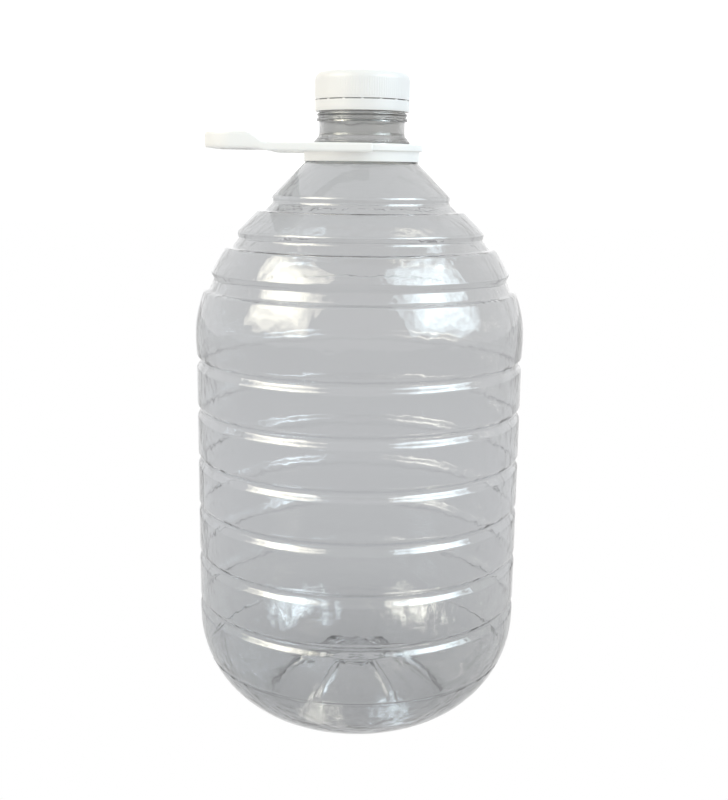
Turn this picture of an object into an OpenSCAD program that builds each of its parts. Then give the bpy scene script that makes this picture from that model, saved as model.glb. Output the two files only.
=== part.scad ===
// Large water jug: a ribbed, blow-moulded PET bottle with a threaded neck, a screw cap with its
// tamper band, and a carry handle on a collar that snaps on below the neck's support ring.
// Millimetres, +Z up, origin at the centre of the base. The handle points to -X.

/* [Bottle] */
// Outer diameter of the straight wall
body_d = 177; // [145:1:215]
// Height at which the shoulder starts to curve in
shoulder_z = 205.6; // [170:0.1:250]
// Radius of the shoulder's arc, seen from the side
shoulder_r = 91; // [75:1:108]
// Radius of the heel's arc, seen from the side
heel_r = 60.2; // [50:0.1:72]
// Outer diameter of the ring that the bottle stands on
base_ring_d = 108; // [90:0.2:124]
// Width of that ring
base_ring_w = 4.2; // [3:0.1:6]
// Height of the dome pushed up inside the ring
dome_h = 23.5; // [19:0.5:30]
// Radius of the flat disc at the top of the dome
disc_r = 16.5; // [12:0.5:20]
// How far the disc stands above the dome around it
disc_step = 1.2; // [0.6:0.1:2]
// Thickness of the blown wall
wall_t = 0.6; // [0.4:0.05:1]

/* [Ribs] */
// Distance between the grooves around the straight wall
groove_pitch = 26.9; // [20:0.1:32]
// Distance from the top groove up to the start of the shoulder
groove_top_gap = 9.2; // [6:0.1:12]
// Width of a groove in the straight wall
groove_w = 8; // [6:0.1:10]
// Depth of a groove in the straight wall
groove_depth = 2.2; // [1:0.1:3]
// Distance along the surface from the start of the shoulder to its first groove
shoulder_groove_start = 33.8; // [28:0.1:38]
// Distance along the surface between the shoulder's grooves
shoulder_groove_pitch = 26.1; // [22:0.1:28]
// Width of a groove in the shoulder
shoulder_groove_w = 11.4; // [8:0.1:13]
// Width of the flat floor of a groove in the shoulder
shoulder_groove_floor = 5.3; // [2:0.1:6]
// Depth of a groove in the shoulder
shoulder_groove_depth = 2.7; // [1:0.1:3.2]
// How far the wall swells between its top groove and the shoulder's first one
shoulder_swell = 0.8; // [0:0.1:1.5]
// Number of stiffening grooves that run outwards in the dome
base_groove_n = 6; // [4:1:8]
// Width of a base groove
base_groove_w = 5; // [4:0.5:9]
// Depth of a base groove
base_groove_depth = 2.4; // [1.5:0.1:4]
// Length of a base groove, outwards from the disc
base_groove_l = 24; // [15:0.5:27]

/* [Neck] */
// Outer diameter of the neck, below and between its rings
neck_d = 45.4; // [38:0.1:54.5]
// Thickness of the neck's wall
neck_wall = 2; // [1.6:0.1:2.5]
// How far the support ring stands out from the neck
support_over = 2.75; // [2:0.05:3.2]
// Thickness of the support ring's rim
support_t = 1.2; // [1:0.1:2]
// Height of the support ring above the top of the shoulder
support_lift = 2.3; // [2.2:0.1:3]
// Height of the flare from the support ring up to the waist
flare_h = 3.4; // [2.5:0.1:4.5]
// Height of the plain waist
waist_h = 6.5; // [4:0.1:8]
// Height of the bead above the waist
bead_h = 4.5; // [3.5:0.1:5.5]
// How far the bead stands out from the neck
bead_over = 1.45; // [0.8:0.05:1.8]
// How far the thread stands out from the neck
thread_depth = 1; // [0.8:0.05:1.2]
// Number of thread starts
thread_starts = 3; // [2:1:3]
// Distance between neighbouring threads along the axis
thread_pitch = 3.2; // [3:0.1:3.8]
// How far round the neck one thread runs, in degrees
thread_turn = 200; // [150:5:250]

/* [Cap and tamper band] */
// Height of the cap
cap_h = 14.2; // [12.6:0.1:17.1]
// Thickness of the cap's top
cap_top_t = 1.8; // [1.4:0.1:2.4]
// Thickness of the cap's side wall under its ribs
cap_wall = 1; // [0.8:0.05:1.4]
// Radius of the rounding at the cap's top edge
cap_round = 4; // [2:0.1:4.5]
// Number of fine grip ribs around the cap
grip_rib_n = 120; // [90:1:150]
// Height of a grip rib above the cap's wall
grip_rib_h = 0.15; // [0.1:0.05:0.4]
// How far round the cap one of its thread ridges runs, in degrees
ridge_turn = 160; // [120:5:230]
// Thickness of the foam liner inside the cap
liner_t = 1; // [0.8:0.1:1.5]
// Height of the tamper band
band_h = 5.5; // [4.8:0.1:7]
// Thickness of the tamper band
band_wall = 0.9; // [0.7:0.05:1.2]
// Width of the slit between the band and the cap
slit_h = 0.5; // [0.4:0.05:0.8]
// Number of thin bridges left standing in the slit
bridge_n = 16; // [8:1:24]

/* [Handle collar] */
// Length of the snap fingers, from the collar's skirt in towards the neck
finger_reach = 6.1; // [5:0.1:7.5]
// Number of snap fingers
finger_n = 16; // [12:1:20]
// Width of the slot between two fingers
finger_slot = 1.5; // [1:0.1:2]
// Thickness of the collar's skirt
skirt_t = 1.5; // [1.2:0.1:2]
// How far the flange stands out from the skirt
flange_over = 1.8; // [1.4:0.1:3]
// Height of the flange's rim
flange_h = 3.6; // [3.2:0.1:4.4]

/* [Carry handle] */
// Distance from the neck's axis out to the end of the grip
handle_reach = 80.3; // [68:0.1:97]
// Width of the grip, measured along the reach
grip_w = 30.3; // [25:0.1:36]
// Length of the ramp between a strap and the full height of the grip
ramp_run = 8.8; // [6:0.1:10]
// Height of the grip
grip_h = 8.1; // [7:0.1:9.7]
// Height of the grip's underside above the straps' underside
grip_lift = 1.3; // [0.8:0.1:1.6]
// Width of a side strap
strap_w = 6; // [5:0.1:8]
// Thickness of a side strap
strap_t = 4.3; // [4.2:0.1:5.2]
// Distance that a strap runs on past its pivot
root_over = 5.5; // [4.5:0.1:7]
// Radius of the handle's outer corners, seen from above
corner_r = 16; // [10:0.5:20]
// Wall of the grip around its hollow underside
grip_wall = 2.2; // [1.8:0.1:2.8]
// Diameter of the pivot stubs on the collar
pivot_d = 2.8; // [2.4:0.1:3]

/* [Hidden] */

PET = [0.80, 0.84, 0.86, 0.45];
WHITE = [0.95, 0.94, 0.92];
FOAM = [0.90, 0.92, 0.93];

// Clearances
loose = 0.4;        // between parts that never touch: band, collar and neck
pivot_clear = 0.05; // radial clearance of the handle's pivot stubs
thread_clear = 0.25; // radial clearance of the cap over the neck's thread
tip_clear = 0.5;    // from the tips of the snap fingers to the neck
liner_clear = 0.1;  // radial clearance of the liner in the cap's roof

// The bottle's outline, along which s is the distance from the start of the shoulder
body_r = body_d / 2;
heel_in = body_r - heel_r;
base_ring_r = base_ring_d / 2;
heel_z = sqrt(pow(heel_r, 2) - pow(base_ring_r - heel_in, 2));
dome_r = base_ring_r - base_ring_w;
neck_r = neck_d / 2;
bore_r = neck_r - neck_wall;
shoulder_in = body_r - shoulder_r;
s_cone = shoulder_r * PI / 4;
cone_r = shoulder_in + shoulder_r * cos(45);
cone_z = shoulder_z + shoulder_r * sin(45);
neck_z = cone_z + cone_r - neck_r;
s_end = s_cone + (cone_r - neck_r - 2) * sqrt(2);
wall_grooves = [for (s = [-groove_top_gap : -groove_pitch : heel_z - shoulder_z + groove_w / 2]) s];
shoulder_grooves = [for (i = [0 : 2]) shoulder_groove_start + i * shoulder_groove_pitch];

// Heights up the neck
support_z = neck_z + support_lift;
flare_z = support_z + support_t;
waist_z = flare_z + flare_h;
bead_z = waist_z + waist_h;
band_z = bead_z + bead_h + 2 * loose;
cap_z = band_z + band_h + slit_h;
lip_z = cap_z + cap_h - cap_top_t - liner_t;
catch_z = band_z + band_h / 2 + loose;
catch_h = 1.6;
thread_z = catch_z + catch_h + 1.6;
// The cap's ridges start halfway between the neck's, where both start at one angle
ridge_low = cap_z + 1.2;
ridge_shift = thread_z - ridge_low - thread_pitch * round((thread_z - ridge_low) / thread_pitch);
ridge_z = ridge_low + thread_pitch / 2 + ridge_shift;

// Cap, band and collar radii
thread_r = neck_r + thread_depth;
cap_in_r = thread_r + thread_clear;
cap_out_r = cap_in_r + cap_wall;
roof_step = 1.2; // bevel between the cap's wall and its roof
band_in_r = thread_r + loose;
skirt_in_r = neck_r + loose + finger_reach;
skirt_r = skirt_in_r + skirt_t;
flange_r = skirt_r + flange_over;
collar_z = support_z - 0.3;
plate_t = 2.2;
strap_in = flange_r + 0.6;
strap_out = strap_in + strap_w;
pivot_z = collar_z - strap_t / 2;
socket_depth = 2 * strap_w / 3;

function arc(c, r, a0, a1, n) = [for (i = [0 : n]) c + r * [cos(a0 + (a1 - a0) * i / n),
    sin(a0 + (a1 - a0) * i / n)]];

// Point of the plain outline, and its outward normal, at distance s
function outline(s) = s < 0 ? [body_r, shoulder_z + s]
    : s < s_cone ? [shoulder_in, shoulder_z] + shoulder_r * [cos(180 / PI * s / shoulder_r),
        sin(180 / PI * s / shoulder_r)]
    : [cone_r, cone_z] + (s - s_cone) * [-cos(45), sin(45)];
function outward(s) = let (a = min(max(180 / PI * s / shoulder_r, 0), 45)) [cos(a), sin(a)];

// Raised cosine with a flat floor: one inside the floor and zero beyond half the width
function bump(x, w, floor_w = 0) = let (t = (2 * abs(x) - floor_w) / (w - floor_w))
    t < 0 ? 1 : t < 1 ? (1 + cos(180 * t)) / 2 : 0;
function sum(v) = v * [for (x = v) 1];
function relief(s) = shoulder_swell * bump(s - (shoulder_groove_start - groove_top_gap) / 2,
        shoulder_groove_start + groove_top_gap)
    - groove_depth * sum([for (g = wall_grooves) bump(s - g, groove_w)])
    - shoulder_groove_depth * sum([for (g = shoulder_grooves) bump(s - g, shoulder_groove_w,
        shoulder_groove_floor)]);

// Distances at which the outline is sampled: closely in the grooves and loosely between them
groove_s = [each [for (g = wall_grooves) for (i = [-4 : 4]) g + i * groove_w / 8],
    each [for (g = shoulder_grooves) for (i = [-4 : 4]) g + i * shoulder_groove_w / 8]];
between_s = [for (s = [shoulder_groove_w : 5 : s_end]) if (min([for (g = [each wall_grooves,
    each shoulder_grooves]) abs(s - g)]) > shoulder_groove_w / 2 + 1.5) s];
function sorted(v) = len(v) < 2 ? v : let (p = v[floor(len(v) / 2)]) [
    each sorted([for (x = v) if (x < p) x]), p, each sorted([for (x = v) if (x > p) x])];
body_s = [for (s = sorted([each groove_s, each between_s])) if (s < s_end - 3) s];

heel_a0 = -acos((base_ring_r - heel_in) / heel_r);
dome_start = disc_r + 0.8;
dome = [[0, dome_h], [disc_r, dome_h], each [for (t = [0 : 0.1 : 0.95])
    [dome_start + (dome_r - dome_start) * t, (dome_h - disc_step) * (1 - pow(t, 1.9))]]];
body_pts = [each dome, [dome_r + 0.3, 0], each arc([heel_in, heel_z], heel_r, heel_a0, 0, 14),
    each [for (s = body_s) outline(s) + relief(s) * outward(s)]];

// The wall's inner side: each outline point moved in by the wall, square to its neighbours
function inner_point(v, i) = let (d = v[min(i + 1, len(v) - 1)] - v[max(i - 1, 0)])
    v[i] + wall_t * [-d[1], d[0]] / norm(d);
inside_pts = [for (i = [1 : len(body_pts) - 1]) inner_point(body_pts, i)];

neck_fillet = 3;
neck_pts = [
    each arc([neck_r + neck_fillet, neck_z + neck_fillet * tan(22.5)], neck_fillet, 225, 180, 4),
    [neck_r, support_z], [neck_r + support_over, support_z], [neck_r + support_over, flare_z],
    [neck_r, waist_z], [neck_r, bead_z], [neck_r + bead_over, bead_z + 0.6],
    [neck_r + bead_over, bead_z + bead_h - 0.6], [neck_r, bead_z + bead_h],
    [neck_r, catch_z], [thread_r, catch_z + 0.3], [thread_r, catch_z + 0.8], [neck_r, catch_z + catch_h],
    each arc([neck_r - 0.7, lip_z - 0.7], 0.7, 0, 90, 3)];

module bottle_outer() rotate_extrude($fn = 96) polygon([each body_pts, each neck_pts, [0, lip_z]]);

module bottle_inner() rotate_extrude($fn = 96) polygon([[0, dome_h + wall_t], each inside_pts,
    [bore_r + 2.5, neck_z - 2.5 - wall_t], [bore_r, neck_z + 1], [bore_r, lip_z + 1], [0, lip_z + 1]]);

// The radial bars inside which the dome is pushed up further, grown by g on every side
module base_bars(g) for (i = [0 : base_groove_n - 1])
    rotate(360 * (i + 0.5) / base_groove_n)
        translate([-base_groove_w / 2 - g, -dome_start - base_groove_l - g, -2])
            cube([base_groove_w + 2 * g, base_groove_l + 2 * g, heel_z]);

// Raises a bottle-shaped solid inside the bars
module with_base_grooves(g) {
    difference() { children(); base_bars(g); }
    intersection() { translate([0, 0, base_groove_depth]) children(); base_bars(g); }
}

// One thread ridge: a four-sided section swept up a helix, from angle a0 through turn degrees
module ridge(r_in, w_in, r_out, w_out, z0, a0, turn) {
    n = ceil(turn / 12);
    lead = thread_pitch * thread_starts;
    pts = [for (i = [0 : n]) let (a = a0 + turn * i / n, z = z0 + lead * turn * i / n / 360)
        each [for (q = [[r_in, -w_in], [r_out, -w_out], [r_out, w_out], [r_in, w_in]])
            [q[0] * cos(a), q[0] * sin(a), z + q[1] / 2]]];
    sides = [for (i = [0 : n - 1]) for (j = [0 : 3]) let (a = 4 * i + j, b = 4 * i + (j + 1) % 4)
        each [[a, b, b + 4], [a, b + 4, a + 4]]];
    polyhedron([for (p = pts) p], [[3, 2, 1, 0], each sides, [4 * n, 4 * n + 1, 4 * n + 2, 4 * n + 3]]);
}

// Everything above the level at which the blown body ends and the thick neck starts
module above_split() translate([0, 0, neck_z - 4]) cylinder(h = lip_z, r = body_r, $fn = 96);

module bottle() color(PET) difference() {
    with_base_grooves(0) bottle_outer();
    with_base_grooves(wall_t) bottle_inner();
    above_split();
}

// The neck is one piece with the bottle. It is a node of its own because its wall is simple.
module bottle_neck() color(PET) {
    intersection() {
        difference() { bottle_outer(); bottle_inner(); }
        above_split();
    }
    for (i = [0 : thread_starts - 1])
        ridge(neck_r - 0.4, 1.8, thread_r, 0.9, thread_z, i * 360 / thread_starts, thread_turn);
}

function grip_outline() = [for (i = [0 : 2 * grip_rib_n - 1]) let (a = 180 * i / grip_rib_n,
    r = cap_out_r + (i % 2 == 0 ? grip_rib_h : -0.05)) r * [cos(a), sin(a)]];

module screw_cap() color(WHITE) {
    top_z = cap_z + cap_h;
    rotate_extrude($fn = 96) polygon([[cap_in_r, cap_z], [cap_out_r, cap_z],
        each arc([cap_out_r - cap_round, top_z - cap_round], cap_round, 0, 90, 8),
        [0, top_z], [0, top_z - cap_top_t], [cap_in_r - roof_step, top_z - cap_top_t],
        [cap_in_r, top_z - cap_top_t - roof_step]]);
    difference() {
        translate([0, 0, cap_z]) linear_extrude(cap_h - cap_round) polygon(grip_outline());
        translate([0, 0, cap_z - 1]) cylinder(h = cap_h + 2, r = cap_in_r + cap_wall / 2, $fn = 96);
    }
    for (i = [0 : thread_starts - 1])
        ridge(thread_r - 0.6, 0.8, cap_in_r + 0.5, 1.6, ridge_z, i * 360 / thread_starts, ridge_turn);
}

module cap_liner() color(FOAM) translate([0, 0, lip_z])
    cylinder(h = liner_t, r = cap_in_r - roof_step - liner_clear, $fn = 96);

module tamper_band() color(WHITE) {
    lip_in = neck_r + loose;
    rotate_extrude($fn = 96) polygon([[band_in_r, band_z], [band_in_r + band_wall, band_z],
        [band_in_r + band_wall, band_z + band_h], [band_in_r, band_z + band_h],
        [band_in_r, band_z + 2], [lip_in, band_z + 1.8], [lip_in, band_z + 1]]);
    for (i = [0 : bridge_n - 1]) rotate(360 * i / bridge_n)
        translate([band_in_r + 0.1, -0.4, band_z + band_h - 0.2]) cube([band_wall - 0.2, 0.8, slit_h - 0.1]);
}

// Height of the shoulder's cone at radius r
function cone_at(r) = neck_z + neck_r - r;

module handle_collar() color(WHITE) {
    tip_r = neck_r + tip_clear;
    under = loose * sqrt(2);
    difference() {
        rotate_extrude($fn = 96) polygon([
            [skirt_in_r, cone_at(skirt_in_r) + under], [skirt_r, cone_at(skirt_r) + under],
            [skirt_r, collar_z - plate_t], [flange_r - 1.2, collar_z - plate_t],
            [flange_r - 1.2, collar_z - flange_h], [flange_r, collar_z - flange_h],
            [flange_r, collar_z - 0.8], [flange_r - 0.8, collar_z],
            [skirt_in_r - 1.2, collar_z], [skirt_in_r - 1.8, collar_z - 0.6], [tip_r, collar_z],
            [tip_r, collar_z - 1.1], [skirt_in_r - 1, collar_z - plate_t], [skirt_in_r, collar_z - plate_t - 1]]);
        for (i = [0 : finger_n - 1]) rotate(360 * (i + 0.5) / finger_n) translate([0, -finger_slot / 2,
            collar_z - plate_t - 1]) cube([skirt_in_r - 1.4, finger_slot, plate_t + 2]);
    }
    for (side = [-1, 1]) translate([0, side * (flange_r - 1.6), pivot_z]) rotate([-90 * side, 0, 0])
        cylinder(h = 1.6 + strap_in - flange_r + socket_depth - 0.4, d = pivot_d, $fn = 48);
}

// The handle seen from the side: the straps, the ramp and the grip
module handle_side() {
    lo = collar_z - strap_t;
    grip_lo = lo + grip_lift;
    grip_hi = grip_lo + grip_h;
    ramp_x = grip_w - handle_reach;
    round_r = 3;
    polygon([[root_over, lo], [root_over, collar_z - 1], [root_over - 1, collar_z], [ramp_x, collar_z],
        [ramp_x - ramp_run + 1.4, grip_hi - 0.6], [ramp_x - ramp_run, grip_hi],
        each arc([round_r - handle_reach, grip_hi - round_r], round_r, 90, 180, 6),
        each arc([round_r - handle_reach, grip_lo + round_r], round_r, 180, 270, 6),
        [ramp_x - 2, grip_lo], [ramp_x + 1.6, lo]]);
}

// The handle seen from above: a flat U whose open end is at the collar
module handle_plan() {
    in_r = corner_r - strap_w;
    x_in = grip_w - handle_reach;
    polygon([[root_over, strap_out], each arc([corner_r - handle_reach, strap_out - corner_r], corner_r, 90, 180, 12),
        each arc([corner_r - handle_reach, corner_r - strap_out], corner_r, 180, 270, 12),
        [root_over, -strap_out], [root_over, -strap_in],
        each arc([x_in + in_r, in_r - strap_in], in_r, 270, 180, 8),
        each arc([x_in + in_r, strap_in - in_r], in_r, 180, 90, 8), [root_over, strap_in]]);
}

module handle_bail() color(WHITE) difference() {
    hollow_x = grip_w - ramp_run - 2 * grip_wall;
    hollow_y = 2 * strap_out - 2 * corner_r;
    intersection() {
        translate([0, strap_out + 1, 0]) rotate([90, 0, 0]) linear_extrude(2 * strap_out + 2) handle_side();
        translate([0, 0, collar_z - strap_t - 1]) linear_extrude(grip_h + 6) handle_plan();
    }
    translate([grip_wall - handle_reach + 0.4, -hollow_y / 2, collar_z - strap_t - 1])
        cube([hollow_x, hollow_y, 1 + grip_lift + grip_h - grip_wall]);
    for (side = [-1, 1]) translate([0, side * (strap_in - 1), pivot_z]) rotate([-90 * side, 0, 0])
        cylinder(h = 1 + socket_depth, r = pivot_d / 2 + pivot_clear, $fn = 48);
}

bottle();
bottle_neck();
screw_cap();
cap_liner();
tamper_band();
handle_collar();
handle_bail();
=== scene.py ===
# %% [markdown]
# # A large water jug
# A clear jug is a hard lesson in looks, because nothing on it has a colour of its own: all that
# is seen is what its thin wall bends, tints and mirrors. So the wall gets its real thickness,
# its grooves are real shapes, and the lights are placed as shapes that the wall can mirror.
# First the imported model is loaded. It fixes where everything is, and nothing here moves it.

# %% Load the frame
import math

import bmesh
import bpy
import numpy as np
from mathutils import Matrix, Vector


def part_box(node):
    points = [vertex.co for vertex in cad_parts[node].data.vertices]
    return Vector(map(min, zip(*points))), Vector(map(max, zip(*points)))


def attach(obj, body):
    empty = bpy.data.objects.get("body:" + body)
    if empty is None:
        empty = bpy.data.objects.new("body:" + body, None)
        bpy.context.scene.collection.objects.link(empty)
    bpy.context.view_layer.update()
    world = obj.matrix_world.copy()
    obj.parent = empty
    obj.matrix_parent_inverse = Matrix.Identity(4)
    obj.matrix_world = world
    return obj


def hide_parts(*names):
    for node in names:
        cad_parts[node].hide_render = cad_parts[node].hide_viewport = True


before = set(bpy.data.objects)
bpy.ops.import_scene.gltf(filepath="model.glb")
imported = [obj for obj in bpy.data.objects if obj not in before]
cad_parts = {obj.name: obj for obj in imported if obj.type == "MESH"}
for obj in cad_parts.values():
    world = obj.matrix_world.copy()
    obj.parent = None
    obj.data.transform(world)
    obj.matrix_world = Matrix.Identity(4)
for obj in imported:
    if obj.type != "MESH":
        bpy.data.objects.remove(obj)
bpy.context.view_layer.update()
MM = 0.001


def box_mm(node):
    """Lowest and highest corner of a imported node, in millimetres."""
    low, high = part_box(node)
    return np.array(low) / MM, np.array(high) / MM


neck_high = box_mm("bottle_neck")[1]
cap_low, cap_high = box_mm("screw_cap")
liner_low, liner_high = box_mm("cap_liner")
band_low = box_mm("tamper_band")[0]
collar_high = box_mm("handle_collar")[1]

# %% [markdown]
# ## Grids that become solids
# Every piece here is a surface of two parameters: one runs along an outline and the other runs
# round the axis or along a path. Such a surface is a plain array of points, so numpy works it
# out in one go, and one helper turns any number of arrays into a closed mesh. Where a row
# shrinks to a point, its doubles are merged, so the pole closes.

# %% Turn point grids into one mesh
def quads(rows, columns, wrap_rows):
    """Corner numbers of the faces between neighbouring points. Columns always join up again."""
    first_rows = np.arange(rows if wrap_rows else rows - 1)
    row, column = np.meshgrid(first_rows, np.arange(columns), indexing="ij")
    next_row, next_column = (row + 1) % rows, (column + 1) % columns
    corners = [row * columns + column, row * columns + next_column,
               next_row * columns + next_column, next_row * columns + column]
    return np.stack(corners, axis=-1).reshape(-1, 4)


def solid(name, grids, wrap_rows=False):
    """One smooth, closed mesh object from grids of shape (rows, columns, 3) in millimetres."""
    points, faces, count = [], [], 0
    for grid in grids:
        rows, columns = grid.shape[:2]
        points.append(grid.reshape(-1, 3) * MM)
        faces.append(quads(rows, columns, wrap_rows) + count)
        count += rows * columns
    mesh = bpy.data.meshes.new(name)
    mesh.from_pydata(np.concatenate(points).tolist(), [], np.concatenate(faces).tolist())
    work = bmesh.new()
    work.from_mesh(mesh)
    bmesh.ops.remove_doubles(work, verts=work.verts, dist=1e-7)
    bmesh.ops.recalc_face_normals(work, faces=work.faces)
    work.to_mesh(mesh)
    work.free()
    mesh.shade_smooth()
    piece = bpy.data.objects.new(name, mesh)
    bpy.context.collection.objects.link(piece)
    print(name, len(mesh.polygons), "faces")
    return piece


def revolve(outline, angles, swell=None):
    """Points (r cos a, r sin a, z) for each (r, z) of an outline and each angle a in radians.
    swell(r, z, a) may give the change of r and of z at each of them."""
    r, z = outline[:, 0][:, None], outline[:, 1][:, None]
    a = angles[None, :]
    dr, dz = swell(r, z, a) if swell else (0, 0)
    r, z = r + dr * (r > 0), z + dz + 0 * a
    return np.stack([r * np.cos(a), r * np.sin(a), z], axis=-1)


def rounded(corners, steps=5, stretch=0.3):
    """Polyline through (r, z, radius) corners, each turned into an arc of that radius that
    touches both of its sides. A short stretch at each end of a side keeps its shading flat."""
    out = [np.array(corners[0][:2], float)]
    for before, corner, after in zip(corners, corners[1:], corners[2:]):
        p, radius = np.array(corner[:2], float), corner[2]
        u, v = np.array(before[:2]) - p, np.array(after[:2]) - p
        u, v = u / np.linalg.norm(u), v / np.linalg.norm(v)
        half = math.acos(np.clip(u @ v, -1, 1)) / 2
        if radius == 0 or half > 1.56:
            out.append(p)
            continue
        reach = radius / math.tan(half)
        middle = p + (u + v) / np.linalg.norm(u + v) * radius / math.sin(half)
        start, end = p + u * reach - middle, p + v * reach - middle
        turn = math.pi - 2 * half
        for k in np.linspace(0, 1, steps + 1):
            along = start * math.sin((1 - k) * turn) + end * math.sin(k * turn)
            out.append(middle + along / math.sin(turn))
    out.append(np.array(corners[-1][:2], float))
    dense = [out[0]]
    for a, b in zip(out, out[1:]):
        length = np.linalg.norm(b - a)
        if length > 4 * stretch:
            dense += [a + (b - a) * stretch / length, b - (b - a) * stretch / length]
        dense.append(b)
    return np.array(dense)


def around(count):
    """Evenly spaced angles round the axis."""
    return np.linspace(0, 2 * math.pi, count, endpoint=False)


def smoothstep(low, high, x):
    """0 below low, 1 above high and an S curve between them."""
    t = np.clip((x - low) / (high - low), 0, 1)
    return t * t * (3 - 2 * t)


def raised_cosine(x, width, floor=0.0):
    """One inside the floor, zero beyond half the width, and half a wave between them."""
    t = np.clip((2 * np.abs(x) - floor) / (width - floor), 0, 1)
    return (1 + np.cos(math.pi * t)) / 2


# %% [markdown]
# ## The camera
# The camera stands 0.6 m in front of the jug, a little under the height of its neck, and looks
# slightly down. Everything else is judged through it, so it comes first. A Track To constraint
# could aim it, but three plain angles are easier to set to a tenth of a degree.

# %% Camera
EYE_DISTANCE = 615.7
EYE_HEIGHT = 296.6
LOOK_DOWN = 11.38
camera_data = bpy.data.cameras.new("camera")
camera_data.lens = 50.9
camera_data.sensor_width = 36
camera = bpy.data.objects.new("camera", camera_data)
camera.location = (0, -EYE_DISTANCE * MM, EYE_HEIGHT * MM)
camera.rotation_euler = (math.radians(90 - LOOK_DOWN), math.radians(-0.70), math.radians(-0.125))
bpy.context.collection.objects.link(camera)
bpy.context.scene.camera = camera
bpy.context.scene.view_settings.view_transform = "Standard"
print("camera at", tuple(round(x, 3) for x in camera.location))

# %% [markdown]
# ## The lamps
# Two soft boxes stand left and right of the camera, one warm and one cool, and the shiny wall
# mirrors them as bright panes. Each is five lamps, one in front of the other and larger each
# time, so that it is brightest in the middle as a real box is. They light nothing else, because
# a box strong enough to show as a pane would burn out the white parts. Three weak lamps that
# nothing mirrors give those parts some direction.

# %% Lamps
WARM = (1.0, 0.955, 0.79)
COOL = (0.81, 0.95, 1.0)
SIDE_ANGLE = 60
AIM_HEIGHT = 0.2


def soft_box(name, side, height, size, radiance, colour, mirrored, distance=1.2):
    """A rectangular lamp turned towards the jug from distance, height degrees up and to a side:
    -1 is left, 0 in front and 1 right. Its power is radiance x pi x area. mirrored says if it
    is only seen in and through shiny surfaces, or never."""
    azimuth, height = math.radians(SIDE_ANGLE * side), math.radians(height)
    lamp = bpy.data.lights.new(name, "AREA")
    lamp.shape, lamp.size, lamp.size_y = "RECTANGLE", size[0], size[1]
    lamp.energy = radiance * math.pi * size[0] * size[1]
    lamp.color = colour
    thing = bpy.data.objects.new(name, lamp)
    flat, up = distance * math.cos(height), distance * math.sin(height)
    thing.location = (flat * math.sin(azimuth), -flat * math.cos(azimuth), AIM_HEIGHT + up)
    thing.rotation_euler = (math.radians(90) - height, 0, azimuth)
    thing.visible_diffuse = not mirrored
    thing.visible_glossy = mirrored
    thing.visible_transmission = mirrored
    thing.visible_camera = False
    bpy.context.collection.objects.link(thing)


# Share of the box's full size, and radiance, of each of its lamps
LAYERS = ((0.28, 2.6), (0.46, 2.2), (0.64, 1.8), (0.82, 1.6), (1.0, 1.8))
for name, side, colour in (("box_left", -1, WARM), ("box_right", 1, COOL)):
    for k, (share, radiance) in enumerate(LAYERS):
        size = (1.15 * share, 0.95 * share)
        soft_box(f"{name}_{k}", side, 32, size, radiance, colour, True, 1.24 - 0.01 * k)
soft_box("fill_left", -1, 26, (0.8, 0.8), 0.35, WARM, False)
soft_box("fill_right", 1, 26, (0.8, 0.8), 0.75, COOL, False)
soft_box("fill_top", 0, 78, (1.3, 1.3), 0.3, (1, 1, 1), False)
print(len(bpy.data.lights), "lamps")

# %% [markdown]
# ## The room
# The room is white all round, but what shows through the clear wall is a grey backdrop: without
# one, glass in a white room all but vanishes. The sky tells the two apart by the kind of ray
# that meets it. A third sky lights the white parts, and is warm on the left and cool on the
# right, like the lamps.

# %% Helpers for skies and finishes
def ray_switch(tree, first, second, ray):
    """Mixes two shaders by the kind of ray that meets them: second is for rays of that kind."""
    path, mix = tree.nodes.new("ShaderNodeLightPath"), tree.nodes.new("ShaderNodeMixShader")
    tree.links.new(path.outputs[ray], mix.inputs["Fac"])
    tree.links.new(first, mix.inputs[1])
    tree.links.new(second, mix.inputs[2])
    return mix.outputs[0]


def background(tree, colour, strength):
    """One plain sky."""
    sky = tree.nodes.new("ShaderNodeBackground")
    sky.inputs["Color"].default_value = (*colour, 1)
    sky.inputs["Strength"].default_value = strength
    return sky.outputs[0]


def fade(tree, value, start, end, highest=1.0):
    """Goes from 0 to highest while a value goes from start to end, and is flat beyond them."""
    ramp = tree.nodes.new("ShaderNodeMapRange")
    ramp.inputs["From Min"].default_value = start
    ramp.inputs["From Max"].default_value = end
    ramp.inputs["To Max"].default_value = highest
    tree.links.new(value, ramp.inputs["Value"])
    return ramp.outputs["Result"]


# %% White room
MIRRORED_SKY, LIT_SKY, BACKDROP = 1.4, 1.03, 0.65
world = bpy.data.worlds.new("white_room")
bpy.context.scene.world = world
world.use_nodes = True
sky_tree = world.node_tree
sky_tree.nodes.clear()
mirrored_sky = background(sky_tree, (1, 1, 1), MIRRORED_SKY)
lit_sky = background(sky_tree, (1, 1, 1), LIT_SKY)
seen_through_sky = background(sky_tree, (0.985, 0.995, 1.0), BACKDROP)
direction = sky_tree.nodes.new("ShaderNodeTexCoord")
split_sky = sky_tree.nodes.new("ShaderNodeSeparateXYZ")
sky_tint = sky_tree.nodes.new("ShaderNodeMix")
sky_tint.data_type = "RGBA"
sky_tint.inputs["A"].default_value = (0.975, 0.885, 0.725, 1)
sky_tint.inputs["B"].default_value = (0.735, 0.885, 1.0, 1)
sky_tree.links.new(direction.outputs["Generated"], split_sky.inputs[0])
sky_tree.links.new(fade(sky_tree, split_sky.outputs["X"], -1, 1), sky_tint.inputs["Factor"])
sky_tree.links.new(sky_tint.outputs["Result"], lit_sky.node.inputs["Color"])
sky = ray_switch(sky_tree, mirrored_sky, lit_sky, "Is Diffuse Ray")
sky = ray_switch(sky_tree, sky, seen_through_sky, "Is Transmission Ray")
sky_out = sky_tree.nodes.new("ShaderNodeOutputWorld")
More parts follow.
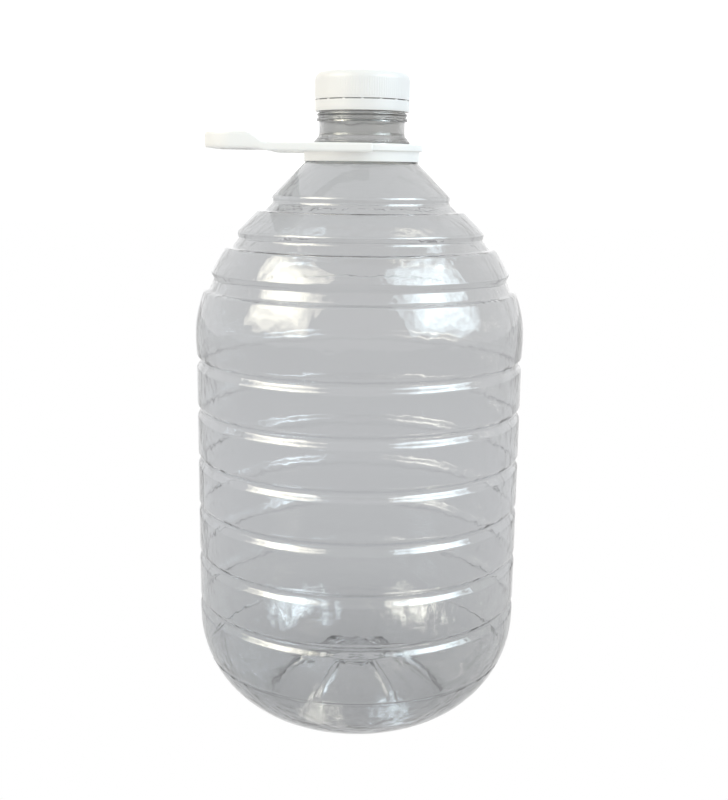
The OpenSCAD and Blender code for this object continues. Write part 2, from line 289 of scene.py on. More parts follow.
sky_tree.links.new(sky, sky_out.inputs["Surface"])
print("sky:", len(sky_tree.nodes), "nodes")

# %% [markdown]
# ## Finishes
# The white parts are polyethylene, which has a soft, waxy shine, a very fine grain from the
# steel mould and a slightly uneven white. The three effects are made once, in a node group, and
# each material places it with its own strengths.

# %% Node group: moulded surface
def moulded_group():
    """Soft colour patches, a fine grain in the roughness and a bump of the same grain."""
    group = bpy.data.node_groups.new("moulded_surface", "ShaderNodeTree")
    for name, kind, value in (
            ("Light colour", "Color", (0.9, 0.9, 0.9, 1)),
            ("Dark colour", "Color", (0.8, 0.8, 0.8, 1)),
            ("Patch scale", "Float", 60.0), ("Grain scale", "Float", 1600.0),
            ("Roughness low", "Float", 0.3), ("Roughness high", "Float", 0.45),
            ("Grain height", "Float", 0.00002), ("Wave height", "Float", 0.0001)):
        socket = group.interface.new_socket(name, in_out="INPUT", socket_type="NodeSocket" + kind)
        socket.default_value = value
    for name, kind in (("Color", "Color"), ("Roughness", "Float"), ("Normal", "Vector")):
        group.interface.new_socket(name, in_out="OUTPUT", socket_type="NodeSocket" + kind)
    node, link = group.nodes.new, group.links.new
    given, result = node("NodeGroupInput"), node("NodeGroupOutput")
    place = node("ShaderNodeTexCoord")
    patches, grain = node("ShaderNodeTexNoise"), node("ShaderNodeTexNoise")
    patches.inputs["Detail"].default_value = 3
    grain.inputs["Detail"].default_value = 2
    for noise, name in ((patches, "Patch scale"), (grain, "Grain scale")):
        link(place.outputs["Object"], noise.inputs["Vector"])
        link(given.outputs[name], noise.inputs["Scale"])
    colour = node("ShaderNodeMix")
    colour.data_type = "RGBA"
    link(patches.outputs["Fac"], colour.inputs["Factor"])
    link(given.outputs["Light colour"], colour.inputs["A"])
    link(given.outputs["Dark colour"], colour.inputs["B"])
    rough = node("ShaderNodeMapRange")
    link(grain.outputs["Fac"], rough.inputs["Value"])
    link(given.outputs["Roughness low"], rough.inputs["To Min"])
    link(given.outputs["Roughness high"], rough.inputs["To Max"])
    fine, wave = node("ShaderNodeBump"), node("ShaderNodeBump")
    link(grain.outputs["Fac"], fine.inputs["Height"])
    link(given.outputs["Grain height"], fine.inputs["Distance"])
    link(patches.outputs["Fac"], wave.inputs["Height"])
    link(given.outputs["Wave height"], wave.inputs["Distance"])
    link(fine.outputs["Normal"], wave.inputs["Normal"])
    link(colour.outputs["Result"], result.inputs["Color"])
    link(rough.outputs["Result"], result.inputs["Roughness"])
    link(wave.outputs["Normal"], result.inputs["Normal"])
    return group


moulded = moulded_group()
print(moulded.name, "has", len(moulded.nodes), "nodes")

# %% White plastics and foam
def finish_material(name, plain, **group_values):
    """A Principled material: plain gives sockets that are the same all over, and group_values
    the moulded surface's own."""
    material = bpy.data.materials.new(name)
    material.use_nodes = True
    tree = material.node_tree
    bsdf = tree.nodes["Principled BSDF"]
    for socket, value in plain.items():
        bsdf.inputs[socket].default_value = value
    surface = tree.nodes.new("ShaderNodeGroup")
    surface.node_tree = moulded
    for socket, value in group_values.items():
        surface.inputs[socket.replace("_", " ").capitalize()].default_value = value
    for socket in ("Roughness", "Normal"):
        tree.links.new(surface.outputs[socket], bsdf.inputs[socket])
    tree.links.new(surface.outputs["Color"], bsdf.inputs["Base Color"])
    return material, tree, bsdf, surface


SOFT_WHITE = {"Subsurface Weight": 0.12, "Subsurface Radius": (1.0, 0.9, 0.8),
              "Subsurface Scale": 0.0015, "IOR": 1.5}
cap_white = finish_material("cap_white", SOFT_WHITE, light_colour=(0.875, 0.875, 0.865, 1),
                            dark_colour=(0.84, 0.84, 0.83, 1), patch_scale=55, grain_scale=2200,
                            roughness_low=0.30, roughness_high=0.42, grain_height=0.000012,
                            wave_height=0.00012)[0]
handle_white = finish_material("handle_white", SOFT_WHITE, light_colour=(0.945, 0.945, 0.925, 1),
                               dark_colour=(0.90, 0.90, 0.88, 1), patch_scale=35, grain_scale=1500,
                               roughness_low=0.36, roughness_high=0.5, grain_height=0.00002,
                               wave_height=0.0002)[0]
foam = finish_material("liner_foam", {"IOR": 1.45}, light_colour=(0.88, 0.9, 0.92, 1),
                       dark_colour=(0.8, 0.83, 0.86, 1), patch_scale=400, grain_scale=3000,
                       roughness_low=0.7, roughness_high=0.9, grain_height=0.00006,
                       wave_height=0.00003)[0]
print("finishes:", cap_white.name, handle_white.name, foam.name)

# %% [markdown]
# Blown PET is clear with a faint grey tint. The wall is a real 0.6 mm thick, so it can be plain
# glass of PET's own index, and each wall that the light crosses takes a little more of it. The
# neck isn't blown: it keeps the thickness of the preform and looks darker, and so does the
# heel, where the wall is thicker again. The tint follows the height. The gentle unevenness of a
# blown wall breaks up what it mirrors, and comes from the group's broad wave. Towards the base,
# where the plastic is stretched least, it is far more uneven, so a second wave fades in there.

# %% Helpers for heights
def height_share(tree, full_height):
    """Object coordinates, and the height above the table as a share of the full height."""
    place, split = tree.nodes.new("ShaderNodeTexCoord"), tree.nodes.new("ShaderNodeSeparateXYZ")
    share = tree.nodes.new("ShaderNodeMath")
    share.operation = "DIVIDE"
    share.inputs[1].default_value = full_height * MM
    tree.links.new(place.outputs["Object"], split.inputs[0])
    tree.links.new(split.outputs["Z"], share.inputs[0])
    return place.outputs["Object"], share.outputs[0]


def combine(tree, operation, first, second):
    """The sum or the product of two values."""
    step = tree.nodes.new("ShaderNodeMath")
    step.operation = operation
    tree.links.new(first, step.inputs[0])
    tree.links.new(second, step.inputs[1])
    return step.outputs[0]


# %% Clear PET
PET_IOR = 1.57
NECK_HAZE = 0.07
UNEVEN_FROM, UNEVEN_FULL = 80, 20


def tint_by_height(tree, share, neck):
    """Colour ramp: grey at the heel, clearest half way up and grey again in the thick neck."""
    stops = ((0.0, (0.63, 0.64, 0.65)), (0.13, (0.81, 0.82, 0.83)), (0.35, (0.885, 0.895, 0.91)),
             (neck - 0.03, (0.87, 0.875, 0.88)), (neck + 0.01, (0.71, 0.71, 0.70)))
    ramp = tree.nodes.new("ShaderNodeValToRGB")
    while len(ramp.color_ramp.elements) < len(stops):
        ramp.color_ramp.elements.new(0.5)
    for element, (where, colour) in zip(ramp.color_ramp.elements, stops):
        element.position, element.color = where, (*colour, 1)
    tree.links.new(share, ramp.inputs["Fac"])
    return ramp.outputs["Color"]


def clear_pet(neck_height, full_height):
    """Transmissive material whose tint, haze and unevenness follow the height."""
    material, tree, bsdf, surface = finish_material(
        "clear_pet", {"Transmission Weight": 1.0, "IOR": PET_IOR}, patch_scale=38, grain_scale=420,
        roughness_low=0.0, roughness_high=0.035, grain_height=0.000004, wave_height=0.0011)
    link = tree.links.new
    place, share = height_share(tree, full_height)
    neck = neck_height / full_height
    link(tint_by_height(tree, share, neck), bsdf.inputs["Base Color"])
    haze = fade(tree, share, neck - 0.01, neck + 0.01, NECK_HAZE)
    link(combine(tree, "ADD", haze, surface.outputs["Roughness"]), bsdf.inputs["Roughness"])
    crinkle, uneven = tree.nodes.new("ShaderNodeTexNoise"), tree.nodes.new("ShaderNodeBump")
    crinkle.inputs["Scale"].default_value = 65
    uneven.inputs["Distance"].default_value = 0.0017
    near_base = fade(tree, share, UNEVEN_FROM / full_height, UNEVEN_FULL / full_height)
    link(place, crinkle.inputs["Vector"])
    link(combine(tree, "MULTIPLY", near_base, crinkle.outputs["Fac"]), uneven.inputs["Height"])
    link(surface.outputs["Normal"], uneven.inputs["Normal"])
    link(uneven.outputs["Normal"], bsdf.inputs["Normal"])
    print(material.name, "has", len(tree.nodes), "nodes")
    return material


# %% [markdown]
# ## The bottle
# The bottle is one moulding. Its outline is a straight wall, a shoulder that is an arc and then
# a 45 degree cone, and a round heel. Grooves run round it to keep the thin wall stiff: six in
# the wall and three in the shoulder, which swells a little between them. All are added to the
# plain outline, square to it. Under the base six short grooves run outwards from the middle.

# %% The outline's driving sizes
BODY_R = 88.5
SHOULDER_Z = 205.6
SHOULDER_R = 91.0
HEEL_R = 60.2
BASE_RING_R = 54.0
BASE_RING_W = 4.2
DOME_H = 23.5
DISC_R = 16.5
DISC_STEP = 1.2
WALL = 0.6
NECK_R = 22.7
NECK_WALL = 2.0
heel_in = BODY_R - HEEL_R
heel_z = math.sqrt(HEEL_R ** 2 - (BASE_RING_R - heel_in) ** 2)
dome_r = BASE_RING_R - BASE_RING_W
dome_start = DISC_R + 0.8
s_cone = SHOULDER_R * math.pi / 4
cone_r = BODY_R - SHOULDER_R + SHOULDER_R * math.sqrt(0.5)
cone_z = SHOULDER_Z + SHOULDER_R * math.sqrt(0.5)
neck_z = cone_z + cone_r - NECK_R
s_end = s_cone + (cone_r - NECK_R - 2) * math.sqrt(2)
GROOVE_W = 8.0
GROOVE_DEPTH = 2.2
SHOULDER_GROOVE_W = 11.4
SHOULDER_FLOOR = 5.3
SHOULDER_DEPTH = 2.7
SWELL = 0.8
PARTING_Z = 31.5
wall_grooves = -9.2 - 26.9 * np.arange(6)
shoulder_grooves = 33.8 + 26.1 * np.arange(3)
all_grooves = np.concatenate([wall_grooves, shoulder_grooves])
lip_z = neck_high[2]
bore_r = NECK_R - NECK_WALL
print("grooves at", np.round(np.sort(all_grooves), 1), "mm from the start of the shoulder")


# %% Body outline with its grooves
def body_outline(s):
    """Point at distance s along the surface from the start of the shoulder: straight below it,
    an arc up to 45 degrees, and then a cone. The relief is added along the outward normal."""
    a = np.clip(s / SHOULDER_R, 0, math.pi / 4)
    over = np.maximum(s - s_cone, 0) * math.sqrt(0.5)
    r = BODY_R - SHOULDER_R + SHOULDER_R * np.cos(a) - over
    z = SHOULDER_Z + SHOULDER_R * np.sin(a) + over + np.minimum(s, 0)
    below, above = wall_grooves[0], shoulder_grooves[0]
    lift = SWELL * raised_cosine(s - (below + above) / 2, above - below)
    lift = lift - GROOVE_DEPTH * sum(raised_cosine(s - g, GROOVE_W) for g in wall_grooves)
    lift = lift - SHOULDER_DEPTH * sum(raised_cosine(s - g, SHOULDER_GROOVE_W, SHOULDER_FLOOR)
                                       for g in shoulder_grooves)
    return np.stack([r + lift * np.cos(a), z + lift * np.sin(a)], axis=-1)


def base_outline():
    """From the middle of the base over the flat disc, the dome and the ring it stands on. The
    dome falls with the power 1.9 of the distance from the disc."""
    edge = np.array([[0, 0], [5, 0], [10, 0], [DISC_R - 1.2, 0], [DISC_R - 0.4, 0.06],
                     [DISC_R, 0.25], [DISC_R + 0.4, 0.7]])
    disc = edge * (1, -1) + (0, DOME_H)
    t = np.linspace(0, 0.98, 24)
    dome = np.stack([dome_start + (dome_r - dome_start) * t,
                     (DOME_H - DISC_STEP) * (1 - t ** 1.9)], axis=-1)
    ring = np.array([[dome_r - 0.2, 0.45], [dome_r + 0.25, 0.12], [dome_r + 0.8, 0],
                     [dome_r + 1.4, 0], [BASE_RING_R - 0.8, 0.0]])
    return np.concatenate([disc, dome, ring])


def heel_outline():
    """An arc from the ring up to the straight wall, sampled closely at the parting line."""
    a_line = math.asin((PARTING_Z - heel_z) / HEEL_R)
    a = np.sort(np.concatenate([np.linspace(-math.acos((BASE_RING_R - heel_in) / HEEL_R), 0, 31),
                                a_line + np.linspace(-0.045, 0.045, 14)]))
    heel = np.stack([heel_in + HEEL_R * np.cos(a), heel_z + HEEL_R * np.sin(a)], axis=-1)
    heel[0, 1] = 0.0
    return heel


def near(grooves, width, count):
    """Distances in each groove and just outside it."""
    return (grooves[:, None] + np.linspace(-0.56, 0.56, count) * width).ravel()


def body_distances():
    """Distances at which the wall and the shoulder are sampled: closely in the grooves."""
    loose = np.arange(heel_z - SHOULDER_Z + 1.5, s_end - 3, 4.8)
    far_off = np.abs(loose[:, None] - all_grooves).min(axis=1) > SHOULDER_GROOVE_W * 0.6
    s = np.sort(np.concatenate([near(wall_grooves, GROOVE_W, 12), loose[far_off],
                                near(shoulder_grooves, SHOULDER_GROOVE_W, 16)]))
    return s[(s > heel_z - SHOULDER_Z + 1) & (s < s_end - 3)]


# %% The wall's outer and inner side
def moved_in(outline, by):
    """The same outline moved by a distance towards the inside, square to its neighbours."""
    d = np.gradient(outline, axis=0)
    d /= np.linalg.norm(d, axis=1)[:, None]
    return outline + by * np.stack([-d[:, 1], d[:, 0]], axis=-1)


outside = np.concatenate([base_outline(), heel_outline(), body_outline(body_distances())])
inside = moved_in(outside, WALL)
inside[0] = (0, DOME_H + WALL)
print(len(outside), "rings of points on the outside of the body")

# %% [markdown]
# The neck has a support ring, a flared foot, a waist, a bead and, under the cap, a screw thread
# with three starts. The thread is a ridge whose middle climbs with the angle, so it can be
# worked out as a change of radius on the same grid.

# %% Heights up the neck
SUPPORT_LIFT, SUPPORT_T, FLARE_H, WAIST_H = 2.3, 1.2, 3.4, 6.5
SUPPORT_OVER, BEAD_OVER = 2.75, 1.45
LOOSE, SLIT = 0.4, 0.5
THREAD_PITCH, THREAD_STARTS, THREAD_TURN, RIDGE_TURN = 3.2, 3, 200.0, 160.0
CATCH_H = 1.6
support_z = neck_z + SUPPORT_LIFT
bead_z = support_z + SUPPORT_T + FLARE_H + WAIST_H
catch_z = (band_low[2] + cap_low[2] - SLIT) / 2 + LOOSE
thread_z = catch_z + CATCH_H + 1.6
print("support ring at", round(support_z, 1), "mm, thread at", round(thread_z, 1), "mm")


# %% Neck outline
def neck_outline():
    """From the top of the shoulder, up the outside, over the lip and down the bore."""
    ring_r, bead_r, catch_r = NECK_R + SUPPORT_OVER, NECK_R + BEAD_OVER, NECK_R + 1
    up = [(NECK_R + 2.6, neck_z - 2.6, 0), (NECK_R, neck_z, 3.0), (NECK_R, support_z, 0.3),
          (ring_r, support_z, 0.5), (ring_r, support_z + 1.3, 0.45),
          (NECK_R + 1.9, support_z + 1.7, 0.3), (NECK_R + 1.5, support_z + 2.5, 0.5),
          (NECK_R + 0.2, support_z + 4.0, 1.0), (NECK_R, support_z + 5.2, 1.0),
          (NECK_R, bead_z, 0.3), (bead_r, bead_z + 0.5, 0.45), (bead_r, bead_z + 1.6, 0.45),
          (NECK_R + 0.8, bead_z + 2.0, 0.3), (NECK_R + 0.8, bead_z + 3.1, 0.3),
          (NECK_R + 1.3, bead_z + 3.4, 0.3), (NECK_R + 1.2, bead_z + 4.2, 0.4),
          (NECK_R, bead_z + 4.5, 0.2), (NECK_R, catch_z, 0.2), (catch_r, catch_z + 0.3, 0.2),
          (catch_r, catch_z + 0.8, 0.3), (NECK_R, catch_z + CATCH_H, 0.3)]
    top = [(NECK_R, lip_z, 0.7), (bore_r, lip_z, 0.5), (bore_r, lip_z - 20, 0),
           (bore_r, neck_z + 1, 4.0), (bore_r + 2.5, neck_z - 2.5 - WALL * 1.4, 0)]
    low, high = rounded(up, 3)[1:], rounded([(NECK_R, lip_z - 2, 0), *top], 3)
    z = np.arange(catch_z + 2.0, lip_z - 1.0, 0.42)
    threads = np.stack([np.full_like(z, NECK_R), z], axis=-1)
    return np.concatenate([low[low[:, 1] < z[0] - 0.2], threads, high[2:]])


def thread_height(z, a, z0, a0, turn, root_w, crest_w):
    """0 to 1 up the side of the nearest ridge. Each start climbs three pitches in one turn."""
    height = 0
    for start in range(THREAD_STARTS):
        along = np.mod(np.degrees(a) - a0 - start * 360 / THREAD_STARTS, 360)
        middle = z0 + THREAD_STARTS * THREAD_PITCH * along / 360
        side = np.clip((root_w / 2 - np.abs(z - middle)) / ((root_w - crest_w) / 2), 0, 1)
        ends = smoothstep(0, 9, along) * (1 - smoothstep(turn - 9, turn, along))
        height = np.maximum(height, side * ends)
    return height


# %% [markdown]
# The base grooves and the mould's parting line are changes of height and radius too. Points
# round the axis stand closer together near the base grooves, so that those keep their shape.

# %% Bottle
BASE_GROOVES = 6
GROOVE_L = 24.0
BASE_GROOVE_DEPTH = 2.4
DENT = 0.8


def bottle_angles(per_groove=27):
    """Angles that crowd towards each base groove: 0.5 u + 0.5 u cubed over each sixth."""
    u = np.linspace(-1, 1, per_groove, endpoint=False)
    half = math.pi / BASE_GROOVES
    sector = half * (0.5 * u + 0.5 * u ** 3)
    middles = -math.pi / 2 + half + 2 * half * np.arange(BASE_GROOVES)
    return (middles[:, None] + sector).ravel()


def bottle_swell(r, z, a):
    """Base grooves push the dome up inside six radial bars, the parting line dents the heel, and
    the thread ridges stand out from the neck."""
    lift = 0
    for k in range(BASE_GROOVES):
        turned = a + math.pi / 2 - math.pi / BASE_GROOVES * (1 + 2 * k)
        across, along = np.abs(r * np.sin(turned)), r * np.cos(turned)
        ends = smoothstep(-0.6, 0.4, along - dome_start)
        ends = ends * (1 - smoothstep(-0.8, 0.6, along - dome_start - GROOVE_L))
        lift = lift + (1 - smoothstep(1.7, 2.9, across)) * ends
    on_base = (z < DOME_H + 2) & (r < dome_r)
    dent = DENT * np.exp(-((z - PARTING_Z) / 0.7) ** 2) * (r > 60)
    on_neck = (r > NECK_R - 0.5) & (z > catch_z + 1.8) & (z < lip_z - 0.8)
    thread = thread_height(z, a, thread_z, 0, THREAD_TURN, 1.8, 0.9) * on_neck
    return thread - dent, BASE_GROOVE_DEPTH * lift * on_base


neck = neck_outline()
shell = np.concatenate([outside, neck, inside[::-1]])
bottle = solid("jug_bottle", [revolve(shell, bottle_angles(), bottle_swell)])
bottle.data.materials.append(clear_pet(neck_z, lip_z))
bottle.visible_shadow = False
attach(bottle, "bottle")
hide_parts("bottle", "bottle_neck")
print("rings:", len(shell), "triangles:", 2 * len(bottle.data.polygons))

# %% [markdown]
# ## The cap and its tamper band
# The cap is a turned shape whose side carries 120 very fine upright ribs for grip. They are a
# wave of 0.12 mm in the radius, which dies out over the top rounding and above the plain bottom
# edge. Inside are the thread ridges that run between the neck's own.

# %% Screw cap
GRIP_RIBS = 120
cap_top, cap_bottom = cap_high[2], cap_low[2]
CAP_GAP, CAP_WALL, TOP_T = 1.25, 1.0, 1.8
RIB_H, RIDGE_H = 0.12, 0.85
cap_in_r = NECK_R + CAP_GAP
cap_out_r = cap_in_r + CAP_WALL
gap = thread_z - cap_bottom - 1.2
ridge_z = cap_bottom + 1.2 + THREAD_PITCH / 2 + gap - THREAD_PITCH * round(gap / THREAD_PITCH)


def cap_outline():
    """From the middle of the top, over the edge, down the side and up again inside."""
    top = rounded([(0, cap_top - 0.25, 0), (17.5, cap_top - 0.25, 0.8), (18.4, cap_top, 0.8),
                   (cap_out_r, cap_top, 4.0), (cap_out_r, cap_bottom, 0.25),
                   (cap_in_r, cap_bottom, 0.25), (cap_in_r, cap_bottom + 1.5, 0)], 14)
    roof_z = cap_top - TOP_T
    z = np.arange(cap_bottom + 1.8, roof_z - 1.4, 0.4)
    inner = np.stack([np.full_like(z, cap_in_r), z], axis=-1)
    roof = rounded([(cap_in_r, roof_z - 1.3, 0), (cap_in_r, roof_z - 1.2, 0),
                    (cap_in_r - 1.2, roof_z, 0.4), (8, roof_z, 0), (0, roof_z, 0)])
    side = top[(top[:, 0] > cap_out_r - 0.01)][:2]
    rows = np.linspace(side[0, 1] - 0.6, cap_bottom + 0.9, 14)
    extra = np.stack([np.full_like(rows, cap_out_r), rows], axis=-1)
    k = int(np.argmax(np.abs(np.diff(top[:, 1])))) + 1
    return np.concatenate([top[:k], extra, top[k:], inner, roof])


def cap_swell(r, z, a):
    """Grip ribs on the outside and thread ridges on the inside."""
    above_edge = smoothstep(cap_bottom + 0.7, cap_bottom + 1.3, z)
    zone = above_edge * (1 - smoothstep(cap_top - 5.5, cap_top - 1.6, z))
    on_side = (r > cap_out_r - 1.3) * (r > cap_in_r + 0.1)
    ribs = RIB_H * (0.5 + 0.5 * np.cos(GRIP_RIBS * a)) * zone * on_side
    inner = (np.abs(r - cap_in_r) < 0.05) * (z > cap_bottom + 0.6) * (z < cap_top - TOP_T - 1.0)
    ridges = RIDGE_H * thread_height(z, a, ridge_z, 0, RIDGE_TURN, 1.5, 0.8) * inner
    return ribs - ridges, 0


cap = solid("jug_cap", [revolve(cap_outline(), around(GRIP_RIBS * 6), cap_swell)])
cap.data.materials.append(cap_white)
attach(cap, "cap")
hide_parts("screw_cap")

# %% [markdown]
# The liner is a plain disc of foam in the cap's roof. The tamper band stays behind on the neck:
# under the slit it carries the stubs of the bridges that broke when the cap was first turned.

# %% Liner
liner_r = liner_high[0]
liner = solid("jug_liner", [revolve(rounded([
    (0, liner_low[2], 0), (liner_r, liner_low[2], 0.2), (liner_r, liner_high[2], 0.2),
    (0, liner_high[2], 0)]), around(160))])
liner.data.materials.append(foam)
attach(liner, "cap_carrier")
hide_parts("cap_liner")

# %% Band
BRIDGES = 16
band_bottom, band_top = band_low[2], cap_bottom - SLIT
band_in_r = NECK_R + 1.4
band_out_r = band_in_r + 0.9


def band_swell(r, z, a):
    """Sixteen stubs on the top edge, all of one width."""
    turn = np.mod(a * BRIDGES / (2 * math.pi) + 0.5, 1) - 0.5
    stub = 1 - smoothstep(0.05, 0.07, np.abs(turn)) + 0 * z
    return 0, 0.38 * stub * (z > band_top - 0.3)


catch_tip_r = NECK_R + LOOSE
band = solid("jug_tamper_band", [revolve(rounded([
    (band_in_r, band_bottom + 3, 0), (band_in_r, band_bottom + 2, 0),
    (catch_tip_r, band_bottom + 1.8, 0.1), (catch_tip_r, band_bottom + 1.1, 0.1),
    (band_in_r, band_bottom, 0.1), (band_out_r - 0.1, band_bottom, 0.3),
    (band_out_r, band_bottom + 1.5, 1.0), (band_out_r, band_top, 0.12),
    (band_in_r, band_top, 0.12), (band_in_r, band_bottom + 3.1, 0)]), around(640), band_swell)],
    wrap_rows=True)
band.data.materials.append(cap_white)
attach(band, "band")
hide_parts("tamper_band")

# %% [markdown]
# ## The handle
# The collar is a skirt with a flange. Sixteen thin fingers reach in from it and snap under the
# support ring, so it is pushed on once and never comes off. One outline serves for the ring,
# and another is swept through a short angle for each finger.

# %% Handle collar
collar_z = support_z - 0.3
FINGER_REACH, SKIRT_T, FLANGE_OVER = 6.1, 1.5, 1.8
skirt_in_r = NECK_R + LOOSE + FINGER_REACH
skirt_r = skirt_in_r + SKIRT_T
flange_r = skirt_r + FLANGE_OVER
PLATE_T, FLANGE_H = 2.2, 3.6
FINGERS, SLOT = 16, 1.5


def cone_at(r):
    """Height at radius r of a cone that stays clear of the shoulder's."""
    return neck_z + NECK_R - r + LOOSE * math.sqrt(2)


def finger(middle):
    """One finger: a flat tongue that rises towards its tip, swept through its own angle. Its
    two ends shrink to a point, which closes them."""
    tongue = rounded([
        (skirt_in_r - 1.5, collar_z - 1.6, 0), (skirt_in_r - 1.5, collar_z - 0.55, 0.0),
        (NECK_R + 0.5, collar_z, 0.25), (NECK_R + 0.5, collar_z - 1.1, 0.25),
        (skirt_in_r - 1.0, collar_z - PLATE_T, 0.2), (skirt_in_r + 0.5, collar_z - PLATE_T, 0),
        (skirt_in_r + 0.5, collar_z - 1.6, 0)])
    centre = tongue.mean(axis=0)
    half = np.arcsin(np.clip((math.pi / FINGERS * tongue[:, 0] - SLOT / 2) / tongue[:, 0], 0, 1))
    rows = []
    for share, size in ((-1, 0), (-1, 0.9), (-0.97, 1), (-0.5, 1), (0, 1), (0.5, 1), (0.97, 1),
                        (1, 0.9), (1, 0)):
        r, z = (centre + (tongue - centre) * size).T
        a = middle + share * (half if size else half.mean())
        rows.append(np.stack([r * np.cos(a), r * np.sin(a), z], axis=-1))
    return np.array(rows)


def peg(side):
    """A round pivot stub along Y, from inside the flange out into the handle's root."""
    start, end = flange_r - 1.6, collar_high[1]
    turned = rounded([(0, start, 0), (1.4, start, 0), (1.4, end, 0.3), (0, end, 0)])
    grid = revolve(turned, around(40))
    return np.stack([grid[..., 0], side * grid[..., 2], collar_z - 2.15 + grid[..., 1]], axis=-1)


collar_ring = revolve(rounded([
    (skirt_in_r, cone_at(skirt_in_r) + 1, 0), (skirt_in_r, cone_at(skirt_in_r), 0.2),
    (skirt_r, cone_at(skirt_r), 0.3), (skirt_r, collar_z - PLATE_T, 0.5),
    (flange_r - 1.2, collar_z - PLATE_T, 0.3), (flange_r - 1.2, collar_z - FLANGE_H, 0.25),
    (flange_r, collar_z - FLANGE_H, 0.35), (flange_r, collar_z - 0.8, 0.4),
    (flange_r - 0.8, collar_z, 0.5), (skirt_in_r - 1.2, collar_z, 0.3),
    (skirt_in_r - 1.4, collar_z - PLATE_T, 0.3), (skirt_in_r, collar_z - PLATE_T - 0.9, 0.3),
    (skirt_in_r, cone_at(skirt_in_r) + 1.1, 0)]), around(256))
fingers = [finger(2 * math.pi * k / FINGERS) for k in range(FINGERS)]
collar_ring = np.concatenate([collar_ring, collar_ring[:1]])
collar = solid("jug_handle_collar", [collar_ring, *fingers, peg(-1), peg(1)])
collar.data.materials.append(handle_white)
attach(collar, "collar")
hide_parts("handle_collar")

# %% [markdown]
# The handle is a flat U. Its path is the same for the outer and the inner edge, so each section
# goes straight across from one edge to the other: short across a strap, long across the grip. A
# section is a rectangle with soft corners whose top and bottom follow the distance from the
# neck, and the grip's underside is hollow.

# %% The handle's path
REACH, GRIP_W, STRAP_W, ROOT, CORNER_R = 80.3, 30.3, 6.0, 5.5, 16.0
RAMP_RUN, STRAP_T, GRIP_LIFT, GRIP_H, GRIP_WALL = 8.8, 4.3, 1.3, 8.1, 2.2
strap_in = flange_r + 0.6
strap_out = strap_in + STRAP_W
grip_x = GRIP_W - REACH
strap_low, strap_high = collar_z - STRAP_T, collar_z
grip_low = strap_low + GRIP_LIFT
grip_high = grip_low + GRIP_H
print("grip from", round(-REACH, 1), "to", round(grip_x, 1), "mm")


def polyline(points, count):
    """Evenly spaced points along a polyline."""
    step = np.linalg.norm(np.diff(points, axis=0), axis=1)
    length = np.concatenate([[0], np.cumsum(step)])
    at = np.linspace(0, length[-1], count)
    return np.stack([np.interp(at, length, points[:, k]) for k in range(2)], axis=-1)


def edge(y_out, corner_x, corner_r, end_x):
    """One edge of the U, from a strap's root to the middle of the grip, in three stretches that
    the other edge shares: the strap, the corner and half of the grip."""
    bend_x = grip_x + CORNER_R - STRAP_W
    a = np.linspace(0, math.pi / 2, 24)
    arc = np.stack([corner_x - corner_r * np.sin(a), corner_r * (1 - np.cos(a)) - y_out], axis=-1)
    strap = polyline(np.array([[ROOT, -y_out], [bend_x, -y_out]]), 40)
    corner = polyline(np.concatenate([[[bend_x, -y_out]], arc]), 44)
    grip = polyline(np.array([[end_x, corner_r - y_out], [end_x, 0]]), 26)
    half = np.concatenate([strap, corner[1:], grip[1:]])
    return np.concatenate([half, (half * (1, -1))[-2::-1]])


# %% The handle's section
def section():
    """Round the section once: u goes from the outer edge at 0 to the inner edge at 1, and v from
    the underside at -1 to the top at 1. The corners are a superellipse of a low power."""
    a = np.linspace(0, math.pi, 41)[1:-1]
    bottom = np.array([0.02, 0.05, 0.078, 0.088, 0.15, 0.3, 0.5, 0.7, 0.85, 0.895, 0.905, 0.95,
                       0.98])
    power = 0.36
    u_top = 0.5 - 0.5 * np.sign(np.cos(a)) * np.abs(np.cos(a)) ** power
    v_top = np.abs(np.sin(a)) ** power
    u = np.concatenate([[0], u_top, [1], u_top[-1:-10:-1], bottom[::-1], u_top[8::-1]])
    v = np.concatenate([[0], v_top, [0], -v_top[-1:-10:-1], -np.ones(len(bottom)), -v_top[8::-1]])
    return np.clip(u, 0, 1)[None, :], v[None, :]


def even_corners(u, width, share=0.12):
    """Keeps the corners, which take a share of u at each edge, equally wide at any width."""
    corner = np.minimum(1, 7 / width)
    from_edge = np.minimum(u, 1 - u)
    middle = from_edge - share * (1 - corner) * (0.5 - from_edge) / (0.5 - share)
    side = np.where(from_edge < share, from_edge * corner, middle)
    return np.where(u < 0.5, side, 1 - side)


# %% Carry handle
def raise_section(x, y, v):
    """Heights for the points of all sections: the ramp lifts the top, half as a straight line and
    half as a sine, and the grip's underside is pushed up into a hollow."""
    up_ramp = np.clip((grip_x - x + 0.2) / (RAMP_RUN - 0.4), 0, 1)
    rise = (up_ramp + np.sin(up_ramp * math.pi / 2)) / 2
    top = strap_high + (grip_high - strap_high) * rise
    low = strap_low + (grip_low - strap_low) * smoothstep(-grip_x - 3, -grip_x + 3, -x)
    z = (top + low) / 2 + (top - low) / 2 * v
    ends, ramp_top = strap_out - CORNER_R, grip_x - RAMP_RUN
    hollow = 1 - smoothstep(ends - 0.6, ends, np.abs(y))
    inset = smoothstep(2.6 - REACH, 3.4 - REACH, x)
    inset = inset * (1 - smoothstep(ramp_top - 2, ramp_top - 1, x))
    return z + (v < -0.99) * hollow * inset * (GRIP_H - GRIP_WALL)


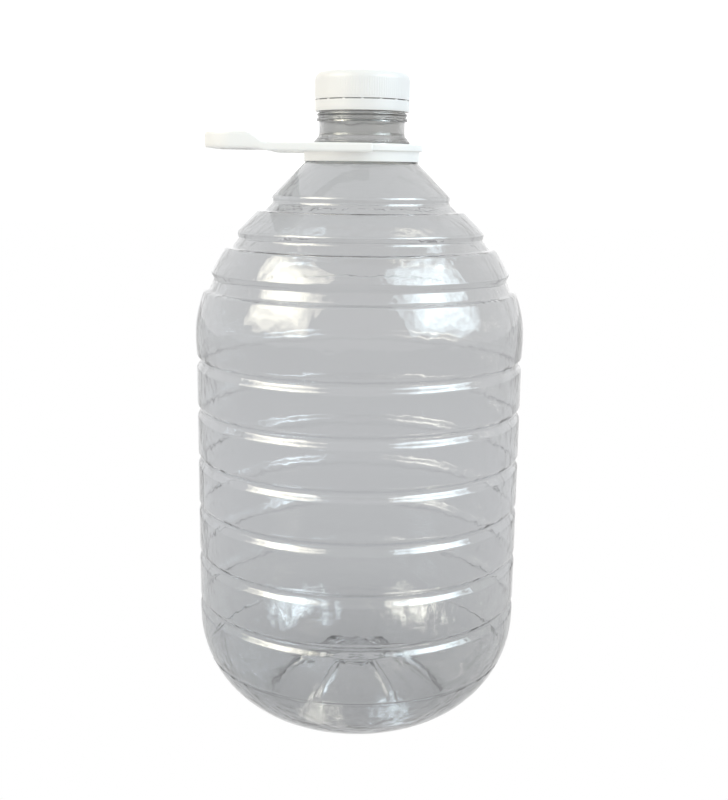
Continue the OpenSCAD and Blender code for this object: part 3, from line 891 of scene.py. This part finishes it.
def handle_grid():
    """Rows run along the U and columns round its section. Both ends shrink to a point."""
    outer = edge(strap_out, CORNER_R - REACH, CORNER_R, -REACH)
    inner = edge(strap_in, grip_x + CORNER_R - STRAP_W, CORNER_R - STRAP_W, grip_x)
    width = np.linalg.norm(inner - outer, axis=1)[:, None]
    u, v = section()
    u = even_corners(u, width)
    xy = outer[:, None, :] + u[..., None] * (inner - outer)[:, None, :]
    z = raise_section(xy[..., 0], xy[..., 1], v)
    points = np.concatenate([xy, z[..., None]], axis=-1)
    first, last = points[0].mean(axis=0), points[-1].mean(axis=0)
    shrink = [(0.0, 0.0), (0.0, 0.82), (0.18, 0.95), (0.6, 1.0)]
    start = [first + (points[0] - first) * s - np.array([b, 0, 0]) for b, s in shrink]
    end = [last + (points[-1] - last) * s - np.array([b, 0, 0]) for b, s in shrink[::-1]]
    return np.concatenate([start, points[2:-2], end])


handle = solid("jug_carry_handle", [handle_grid()])
handle.data.materials.append(handle_white)
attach(handle, "handle")
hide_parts("handle_bail")

# %% [markdown]
# ## The floor
# A wide pale floor. Seen directly it is as white as the room, so that the two run together, and
# seen through the jug it is the same grey as the backdrop.

# %% Floor
floor_mesh = bpy.data.meshes.new("floor")
FLOOR = 6.0
corners = [(x * FLOOR, y * FLOOR, -0.0004) for x, y in ((-1, -1), (1, -1), (1, 1), (-1, 1))]
floor_mesh.from_pydata(corners, [], [(0, 1, 2, 3)])
floor = bpy.data.objects.new("floor", floor_mesh)
bpy.context.collection.objects.link(floor)
paint = bpy.data.materials.new("pale_floor")
paint.use_nodes = True
paint_tree = paint.node_tree


def glow(brightness):
    """A plain white emission of the floor."""
    lit = paint_tree.nodes.new("ShaderNodeEmission")
    lit.inputs["Color"].default_value = (1, 1, 1, 1)
    lit.inputs["Strength"].default_value = brightness
    return lit.outputs[0]


shown = glow(0.78)
for brightness, ray in ((0.95, "Is Glossy Ray"), (0.61, "Is Transmission Ray"),
                        (1.0, "Is Camera Ray")):
    shown = ray_switch(paint_tree, shown, glow(brightness), ray)
paint_tree.links.new(shown, paint_tree.nodes["Material Output"].inputs["Surface"])
floor.data.materials.append(paint)
print("floor:", 2 * FLOOR, "m across")
